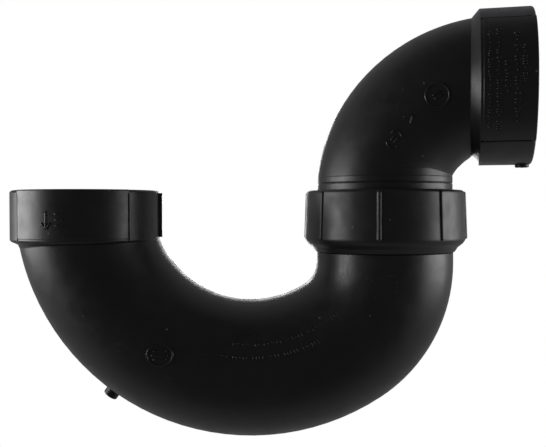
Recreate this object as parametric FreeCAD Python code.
import FreeCAD, Part
import math
import os

# P trap with a union, for 1-1/2 in. drain pipe. Millimetres.
#
# Frame: the origin is the centre of the inlet socket's pipe stop, where the end of the
# tailpiece lands. +Z points up, out of the inlet's mouth. +X points from the inlet to the
# union. The return bend lies in the plane Y = 0, and its front faces -Y.

# ---------------------------------------------------------------- driving dimensions

# sockets for pipe of 48.26 mm outside diameter
SOCKET_RADIUS = 24.26
SOCKET_DEPTH = 17.5
INLET_HUB_RADIUS = 28.4
OUTLET_HUB_RADIUS = 28.9
HUB_RIM_ROUND = 1.1
MOUTH_EDGE = 0.4
WATERWAY_RADIUS = 20.9

# how far a joined piece starts inside the wall, and a cutter starts outside it
OVERLAP = 1.0

# label pads on the front and back of each hub
PAD_RISE = 0.25
PAD_GROOVE_WIDTH = 0.8
PAD_GROOVE_DEPTH = 0.45
PAD_GROOVE_START = 1.5

# return bend: two tangent arcs about parallel axes
CENTRE_DISTANCE = 115.25
BEND_RADIUS = 63.8
BEND_CENTRE_HEIGHT = 13.75
BEND_JOINT_ANGLE = 56.6
BEND_TUBE_RADIUS = 26.0
BEND_HEEL = 0.6

# inlet hub's lower edge and the collar cone under it
INLET_HUB_BOTTOM = -2.6
INLET_HUB_EDGE_RISE = 1.0
INLET_HUB_EDGE_ROUND = 1.2
INLET_PAD_BOTTOM = -0.4
INLET_PAD_ANGLE = 91.0
INLET_CONE_TOP = -2.9
INLET_CONE_TOP_RADIUS = 25.5
INLET_CONE_BOTTOM = -5.3
INLET_CONE_BOTTOM_RADIUS = 24.4

# rib on the inlet hub, on the side that faces the union
HUB_RIB_RISE = 1.1
HUB_RIB_WIDTH = 1.6
HUB_RIB_TOP = 16.6
HUB_RIB_BOTTOM = -0.4

# cut-off sprue under the bend, and the small one under the outlet hub
SPRUE_ANGLE = 54.0
SPRUE_RADIUS = 2.85
SPRUE_LENGTH = 3.2
SPRUE_ROUND = 0.5
SPRUE_BURIED = 3.0
SMALL_SPRUE_RADIUS = 2.6
SMALL_SPRUE_RISE = 0.9
SMALL_SPRUE_FROM_MOUTH = 3.4

# union, from the bottom up
NUT_BOTTOM = -5.9
NUT_WAIST_HEIGHT = -4.2
NUT_EDGE_HEIGHT = -2.7
NUT_WALL_BOTTOM = -1.2
NUT_TOP = 17.3
NUT_TOP_RADIUS = 29.9
NUT_WALL_RADIUS = 30.6
NUT_EDGE_RADIUS = 29.6
NUT_WAIST_RADIUS = 27.7
NUT_FOOT_RADIUS = 26.6
NUT_TOP_ROUND = 1.2
NUT_WALL_ROUND = 2.4
NUT_EDGE_ROUND = 0.5
NUT_WAIST_ROUND = 0.8
NUT_FOOT_ROUND = 0.3
NUT_LEAD_IN = 0.8
SHOULDER_TOP = -2.4
RIB_COUNT = 8
RIB_FIRST_ANGLE = -10.3
RIB_RADIUS = 0.85
RIB_RISE = 0.6
RIB_TOP = 16.0
SPIGOT_STEP = -6.2
SPIGOT_NECK_RADIUS = 23.3
NECK_CLEARANCE = 0.3
COLLAR_BOTTOM = -2.1
COLLAR_TOP = 2.4
COLLAR_RADIUS = 25.6
COLLAR_ROUND = 0.3
GLUE_GAP = 0.05
WASHER_THICKNESS = 2.5
WASHER_INNER_RADIUS = 21.4
WASHER_OUTER_RADIUS = 25.3
WASHER_ROUND = 0.25
FACE_GAP = 0.05

# union thread
THREAD_PITCH = 25.4 / 11.5
THREAD_DEPTH = 1.2
THREAD_CREST_WIDTH = 0.45
THREAD_ROOT_WIDTH = 1.35
THREAD_CLEARANCE = 0.25
THREAD_BURIED = 0.3
MALE_ROOT_RADIUS = 25.7
MALE_THREAD_BOTTOM = 5.6
MALE_THREAD_TOP = 16.6
FEMALE_THREAD_TOP = 15.6
THREAD_START_CUT = 0.4
THREAD_TAPER = 1.5
THREAD_MARGIN = 0.1

# elbow
ELBOW_BEND_RADIUS = 41.1
ELBOW_CENTRE_HEIGHT = 14.35
ELBOW_TUBE_RADIUS = 24.85
ELBOW_HEEL = 1.4
ELBOW_SWIVEL = 12.0
NECK_SHOULDER_HEIGHT = 22.2
NECK_BOSS_TOP = 24.9
NECK_BOSS_SHIFT = 0.8
NECK_LINE_HEIGHT = 19.9
NECK_LINE_DEPTH = 0.25
NECK_LINE_HALF_WIDTH = 0.3
OUTLET_MOUTH = 54.1
OUTLET_HUB_LENGTH = 18.9
OUTLET_HUB_EDGE_ROUND = 0.4
OUTLET_PAD_START = 1.0
OUTLET_PAD_ANGLE = 96.0
OUTLET_CONE_LENGTH = 3.2
OUTLET_CONE_RADIUS = 25.2

# the nut's ridge lies midway between two turns of the swivelled elbow's ridge
FEMALE_THREAD_BOTTOM = MALE_THREAD_BOTTOM + THREAD_PITCH * (ELBOW_SWIVEL / 360 - 0.5)

UP = FreeCAD.Vector(0, 0, 1)
ALONG_Y = FreeCAD.Vector(0, 1, 0)


# ---------------------------------------------------------------- helpers


def vec(x, y, z):
    """Shorthand for a vector."""
    return FreeCAD.Vector(x, y, z)


def rounded_outline(corners):
    """Closed wire in the XZ plane through (radius, height, rounding) corners."""
    count = len(corners)
    edges = []
    ends = []
    for i in range(count):
        here = vec(corners[i][0], 0, corners[i][1])
        before = vec(corners[i - 1][0], 0, corners[i - 1][1])
        after = vec(corners[(i + 1) % count][0], 0, corners[(i + 1) % count][1])
        rounding = corners[i][2]
        if rounding == 0:
            ends.append((here, here))
            continue
        to_before = (before - here).normalize()
        to_after = (after - here).normalize()
        half = to_before.getAngle(to_after) / 2
        setback = rounding / math.tan(half)
        first = here + to_before * setback
        last = here + to_after * setback
        bisector = (to_before + to_after).normalize()
        centre = here + bisector * (rounding / math.sin(half))
        middle = centre - bisector * rounding
        edges.append((i, Part.Arc(first, middle, last).toShape()))
        ends.append((first, last))
    arcs = dict(edges)
    ordered = []
    for i in range(count):
        if i in arcs:
            ordered.append(arcs[i])
        start = ends[i][1]
        stop = ends[(i + 1) % count][0]
        if start.distanceToPoint(stop) > 1e-6:
            ordered.append(Part.LineSegment(start, stop).toShape())
    return Part.Wire(ordered)


def turned(corners, angle=360.0):
    """Solid of revolution about Z from (radius, height, rounding) corners."""
    return Part.Face(rounded_outline(corners)).revolve(vec(0, 0, 0), UP, angle)


def rod(radius, bottom, top):
    """Upright round rod on the Z axis."""
    return Part.makeCylinder(radius, top - bottom, vec(0, 0, bottom))


def bent_rod(radius, start, direction, centre, angle):
    """Round rod bent about an axis along Y through centre, from start towards direction."""
    circle = Part.Wire(Part.makeCircle(radius, start, direction))
    return Part.Face(circle).revolve(centre, ALONG_Y, angle)


def fused(first, others):
    """One shape from several, without the seams between faces that run on."""
    return first.fuse(others).removeSplitter()


def one_solid(shape):
    """The single solid of a boolean result."""
    if len(shape.Solids) != 1:
        raise ValueError("expected one solid, got %d" % len(shape.Solids))
    return shape.Solids[0]


def helical_ridge(root_radius, crest_radius, bottom, top):
    """Trapezoidal right-hand thread ridge; the crest is inside or outside the root."""
    outward = 1 if crest_radius > root_radius else -1
    buried_radius = root_radius - outward * THREAD_BURIED
    flank_slope = (THREAD_ROOT_WIDTH - THREAD_CREST_WIDTH) / 2 / THREAD_DEPTH
    half_buried = THREAD_ROOT_WIDTH / 2 + flank_slope * THREAD_BURIED
    half_crest = THREAD_CREST_WIDTH / 2
    section = Part.makePolygon(
        [
            vec(buried_radius, 0, bottom - half_buried),
            vec(crest_radius, 0, bottom - half_crest),
            vec(crest_radius, 0, bottom + half_crest),
            vec(buried_radius, 0, bottom + half_buried),
            vec(buried_radius, 0, bottom - half_buried),
        ]
    )
    helix = Part.makeHelix(THREAD_PITCH, top - bottom, root_radius)
    helix.translate(vec(0, 0, bottom))
    return Part.Wire(helix.Edges).makePipeShell([section], True, True)


# ---------------------------------------------------------------- socket hub


def label_pad(radius, bottom, angle, middle_angle):
    """Raised pad on a hub's outside, squared off at the mouth."""
    start = radius - OVERLAP
    rim = radius + PAD_RISE
    pad = turned(
        [(start, bottom, 0), (rim, bottom, 0), (rim, SOCKET_DEPTH, MOUTH_EDGE), (start, SOCKET_DEPTH, 0)],
        angle,
    )
    pad.rotate(vec(0, 0, 0), UP, middle_angle - angle / 2)
    return pad


def pad_grooves(radius, bottom, angle, middle_angle):
    """Two fine grooves that run up the pad's side edges."""
    grooves = []
    start = bottom - PAD_GROOVE_WIDTH
    top = SOCKET_DEPTH - PAD_GROOVE_START
    for side in (-1, 1):
        cutter = Part.makeBox(
            PAD_GROOVE_DEPTH + OVERLAP,
            PAD_GROOVE_WIDTH,
            top - start,
            vec(radius - PAD_GROOVE_DEPTH, -PAD_GROOVE_WIDTH / 2, start),
        )
        cutter.rotate(vec(0, 0, 0), UP, middle_angle + side * angle / 2)
        grooves.append(cutter)
    return grooves


def socket_hub(radius, outline, pad_bottom, pad_angle):
    """Outside of a hub: outline is its lower half, from the axis out to the wall."""
    wall = [(radius, SOCKET_DEPTH, HUB_RIM_ROUND), (0, SOCKET_DEPTH, 0)]
    hub = turned(outline + wall)
    for middle_angle in (-90, 90):
        hub = hub.fuse(label_pad(radius, pad_bottom, pad_angle, middle_angle))
        hub = hub.cut(pad_grooves(radius, pad_bottom, pad_angle, middle_angle))
    return hub


def socket_bore():
    """Space inside a socket, with the mouth's small lead-in edge."""
    edge = SOCKET_RADIUS + MOUTH_EDGE
    return turned(
        [
            (0, 0, 0),
            (SOCKET_RADIUS, 0, 0),
            (SOCKET_RADIUS, SOCKET_DEPTH - MOUTH_EDGE, 0),
            (edge, SOCKET_DEPTH, 0),
            (edge, SOCKET_DEPTH + OVERLAP, 0),
            (0, SOCKET_DEPTH + OVERLAP, 0),
        ]
    )


# ---------------------------------------------------------------- return bend


def second_arc(first_radius):
    """Radius and centre of the arc that is tangent to the first and ends on the union axis."""
    turn = math.radians(BEND_JOINT_ANGLE)
    reach = CENTRE_DISTANCE - BEND_RADIUS - first_radius * math.cos(turn)
    radius = reach / (1 - math.cos(turn))
    step = first_radius - radius
    centre = vec(
        BEND_RADIUS + step * math.cos(turn),
        0,
        BEND_CENTRE_HEIGHT - step * math.sin(turn),
    )
    return radius, centre


def bend_core(tube_radius, first_radius):
    """Rod along the whole bend: the wide arc, then the tight arc up to vertical."""
    first_centre = vec(BEND_RADIUS, 0, BEND_CENTRE_HEIGHT)
    start = first_centre - vec(first_radius, 0, 0)
    wide = bent_rod(tube_radius, start, vec(0, 0, -1), first_centre, -(180 - BEND_JOINT_ANGLE))
    second_radius, second_centre = second_arc(first_radius)
    end = second_centre + vec(second_radius, 0, 0)
    tight = bent_rod(tube_radius, end, UP, second_centre, BEND_JOINT_ANGLE)
    return [wide, tight], second_centre.z


def bend_sprue():
    """Cut-off sprue that stands square on the outside of the wide arc."""
    length = SPRUE_BURIED + SPRUE_LENGTH
    sprue = Part.makeCylinder(SPRUE_RADIUS, length, vec(0, 0, 0), UP)
    end_edges = [edge for edge in sprue.Edges if edge.BoundBox.ZMin > length - MOUTH_EDGE]
    sprue = sprue.makeFillet(SPRUE_ROUND, end_edges)
    sprue.rotate(vec(0, 0, 0), ALONG_Y, -(90 + SPRUE_ANGLE))
    turn = math.radians(SPRUE_ANGLE)
    foot = BEND_RADIUS + BEND_HEEL + BEND_TUBE_RADIUS - SPRUE_BURIED
    sprue.translate(vec(BEND_RADIUS - foot * math.cos(turn), 0, BEND_CENTRE_HEIGHT - foot * math.sin(turn)))
    return sprue


def return_bend():
    """The U-shaped bend: inlet hub, two arcs, and the spigot that the union's collar sits on."""
    hub = socket_hub(
        INLET_HUB_RADIUS,
        [
            (0, INLET_CONE_BOTTOM, 0),
            (INLET_CONE_BOTTOM_RADIUS, INLET_CONE_BOTTOM, 0),
            (INLET_CONE_TOP_RADIUS, INLET_CONE_TOP, 0),
            (INLET_HUB_RADIUS, INLET_HUB_BOTTOM + INLET_HUB_EDGE_RISE, INLET_HUB_EDGE_ROUND),
        ],
        INLET_PAD_BOTTOM,
        INLET_PAD_ANGLE,
    )
    rib = Part.makeBox(
        HUB_RIB_RISE + OVERLAP,
        HUB_RIB_WIDTH,
        HUB_RIB_TOP - HUB_RIB_BOTTOM,
        vec(INLET_HUB_RADIUS - OVERLAP, -HUB_RIB_WIDTH / 2, HUB_RIB_BOTTOM),
    )
    skin, skin_top = bend_core(BEND_TUBE_RADIUS, BEND_RADIUS + BEND_HEEL)
    water, water_top = bend_core(WATERWAY_RADIUS, BEND_RADIUS)
    spigot = rod(BEND_TUBE_RADIUS, skin_top, SPIGOT_STEP)
    neck = rod(SPIGOT_NECK_RADIUS, skin_top, COLLAR_TOP)
    riser = rod(WATERWAY_RADIUS, water_top, COLLAR_TOP + OVERLAP)
    for upright in (spigot, neck, riser):
        upright.translate(vec(CENTRE_DISTANCE, 0, 0))
    outside = fused(hub, [rib] + skin + [spigot, neck, bend_sprue()])
    inside = fused(socket_bore(), water + [riser])
    return one_solid(outside.cut(inside))


# ---------------------------------------------------------------- union, built about Z


def union_collar():
    """Flanged ring cemented on the bend's neck. The nut's shoulder pulls on it."""
    bore = SPIGOT_NECK_RADIUS + GLUE_GAP
    return turned(
        [
            (bore, COLLAR_BOTTOM, 0),
            (COLLAR_RADIUS, COLLAR_BOTTOM, COLLAR_ROUND),
            (COLLAR_RADIUS, COLLAR_TOP, COLLAR_ROUND),
            (bore, COLLAR_TOP, 0),
        ]
    )


def union_washer():
    """Flat rubber ring between the collar and the elbow's end."""
    bottom = COLLAR_TOP + FACE_GAP
    top = bottom + WASHER_THICKNESS
    return turned(
        [
            (WASHER_INNER_RADIUS, bottom, WASHER_ROUND),
            (WASHER_OUTER_RADIUS, bottom, WASHER_ROUND),
            (WASHER_OUTER_RADIUS, top, WASHER_ROUND),
            (WASHER_INNER_RADIUS, top, WASHER_ROUND),
        ]
    )


def nut_rib(angle):
    """Half-round grip rib that follows the nut's taper, with round ends."""
    sink = RIB_RADIUS - RIB_RISE
    low = vec(NUT_WALL_RADIUS - sink, 0, NUT_WALL_BOTTOM + RIB_RADIUS)
    taper = (NUT_TOP_RADIUS - NUT_WALL_RADIUS) / (NUT_TOP - NUT_WALL_BOTTOM)
    high = low + vec(taper * (RIB_TOP - low.z), 0, RIB_TOP - low.z)
    axis = high - low
    bar = Part.makeCylinder(RIB_RADIUS, axis.Length, low, axis)
    rib = fused(bar, [Part.makeSphere(RIB_RADIUS, low), Part.makeSphere(RIB_RADIUS, high)])
    rib.rotate(vec(0, 0, 0), UP, angle)
    return rib


def union_nut():
    """Ribbed nut with an inner thread, and a shoulder that turns under the collar."""
    female_root = MALE_ROOT_RADIUS + THREAD_DEPTH + THREAD_CLEARANCE
    female_crest = MALE_ROOT_RADIUS + THREAD_CLEARANCE
    body = turned(
        [
            (SPIGOT_NECK_RADIUS + NECK_CLEARANCE, NUT_BOTTOM, 0),
            (NUT_FOOT_RADIUS, NUT_BOTTOM, NUT_FOOT_ROUND),
            (NUT_WAIST_RADIUS, NUT_WAIST_HEIGHT, NUT_WAIST_ROUND),
            (NUT_EDGE_RADIUS, NUT_EDGE_HEIGHT, NUT_EDGE_ROUND),
            (NUT_WALL_RADIUS, NUT_WALL_BOTTOM, NUT_WALL_ROUND),
            (NUT_TOP_RADIUS, NUT_TOP, NUT_TOP_ROUND),
            (female_root + NUT_LEAD_IN, NUT_TOP, 0),
            (female_root, NUT_TOP - NUT_LEAD_IN, 0),
            (female_root, SHOULDER_TOP, 0),
            (SPIGOT_NECK_RADIUS + NECK_CLEARANCE, SHOULDER_TOP, 0),
        ]
    )
    ribs = [nut_rib(RIB_FIRST_ANGLE - 90 + i * 360 / RIB_COUNT) for i in range(RIB_COUNT)]
    thread = helical_ridge(female_root, female_crest, FEMALE_THREAD_BOTTOM, FEMALE_THREAD_TOP)
    return one_solid(fused(body, ribs).fuse(thread))


# ---------------------------------------------------------------- elbow, built about Z, outlet along X


def male_thread():
    """Ridge on the elbow's end, tapered where it starts and where it runs out."""
    crest = MALE_ROOT_RADIUS + THREAD_DEPTH
    ridge = helical_ridge(MALE_ROOT_RADIUS, crest, MALE_THREAD_BOTTOM, MALE_THREAD_TOP)
    inner = MALE_ROOT_RADIUS - OVERLAP
    low = MALE_ROOT_RADIUS + THREAD_MARGIN
    high = crest + THREAD_MARGIN
    start = MALE_THREAD_BOTTOM - THREAD_START_CUT
    envelope = turned(
        [
            (inner, start, 0),
            (low, start, 0),
            (high, start + THREAD_TAPER, 0),
            (high, MALE_THREAD_TOP - THREAD_TAPER, 0),
            (low, MALE_THREAD_TOP, 0),
            (inner, MALE_THREAD_TOP, 0),
        ]
    )
    return ridge.common(envelope)


def elbow_neck(bottom):
    """Round neck with a fine line round it, and a boss that stands out under the tight side of the bend."""
    neck = rod(MALE_ROOT_RADIUS, bottom, NECK_SHOULDER_HEIGHT)
    outside = MALE_ROOT_RADIUS + OVERLAP
    spread = NECK_LINE_HALF_WIDTH * (1 + OVERLAP / NECK_LINE_DEPTH)
    line = turned(
        [
            (MALE_ROOT_RADIUS - NECK_LINE_DEPTH, NECK_LINE_HEIGHT, 0),
            (outside, NECK_LINE_HEIGHT - spread, 0),
            (outside, NECK_LINE_HEIGHT + spread, 0),
        ]
    )
    boss = rod(ELBOW_TUBE_RADIUS, NECK_SHOULDER_HEIGHT - OVERLAP, NECK_BOSS_TOP)
    boss.translate(vec(NECK_BOSS_SHIFT, 0, 0))
    return neck.cut(line), boss


def elbow_skin(centre):
    """The bend's outside, from the neck's shoulder to the outlet."""
    start = centre - vec(ELBOW_BEND_RADIUS + ELBOW_HEEL, 0, 0)
    skin = bent_rod(ELBOW_TUBE_RADIUS, start, UP, centre, 90)
    size = 2 * OUTLET_MOUTH
    below = Part.makeBox(size, size, size, vec(-size / 2, -size / 2, NECK_SHOULDER_HEIGHT - size))
    return skin.cut(below)


def outlet_hub():
    """Outside of the outlet's hub, with the small sprue on its underside."""
    hub_end = SOCKET_DEPTH - OUTLET_HUB_LENGTH
    cone_end = hub_end - OUTLET_CONE_LENGTH
    outline = [
        (0, cone_end, 0),
        (OUTLET_CONE_RADIUS, cone_end, 0),
        (OUTLET_HUB_RADIUS, hub_end, OUTLET_HUB_EDGE_ROUND),
    ]
    hub = socket_hub(OUTLET_HUB_RADIUS, outline, hub_end + OUTLET_PAD_START, OUTLET_PAD_ANGLE)
    foot = vec(SOCKET_RADIUS + OVERLAP, 0, SOCKET_DEPTH - SMALL_SPRUE_FROM_MOUTH)
    length = OUTLET_HUB_RADIUS + SMALL_SPRUE_RISE - foot.x
    return hub.fuse(Part.makeCylinder(SMALL_SPRUE_RADIUS, length, foot, vec(1, 0, 0)))


def trap_elbow():
    """The elbow: threaded neck, bend and outlet hub."""
    bottom = COLLAR_TOP + 2 * FACE_GAP + WASHER_THICKNESS
    centre = vec(ELBOW_BEND_RADIUS, 0, ELBOW_CENTRE_HEIGHT)
    neck, boss = elbow_neck(bottom)
    hub = outlet_hub()
    bore = socket_bore()
    for shape in (hub, bore):
        shape.rotate(vec(0, 0, 0), ALONG_Y, 90)
        shape.translate(vec(OUTLET_MOUTH - SOCKET_DEPTH, 0, ELBOW_CENTRE_HEIGHT + ELBOW_BEND_RADIUS))
    water = bent_rod(WATERWAY_RADIUS, vec(0, 0, ELBOW_CENTRE_HEIGHT), UP, centre, 90)
    riser = rod(WATERWAY_RADIUS, bottom - OVERLAP, ELBOW_CENTRE_HEIGHT)
    outside = fused(neck, [boss, elbow_skin(centre), hub])
    inside = fused(bore, [water, riser])
    return one_solid(outside.cut(inside).fuse(male_thread()))


# ---------------------------------------------------------------- nodes

nodes = {
    "return_bend": return_bend(),
    "union_collar": union_collar(),
    "union_nut": union_nut(),
    "union_washer": union_washer(),
    "trap_elbow": trap_elbow(),
}

nodes["trap_elbow"].rotate(vec(0, 0, 0), UP, -ELBOW_SWIVEL)
for name in ("union_collar", "union_nut", "union_washer", "trap_elbow"):
    nodes[name].translate(vec(CENTRE_DISTANCE, 0, 0))

os.makedirs("parts", exist_ok=True)
for name, shape in nodes.items():
    shape.exportStep("parts/%s.step" % name)
    print(name, "valid", shape.isValid(), "volume %.1f" % shape.Volume, "box", shape.BoundBox)
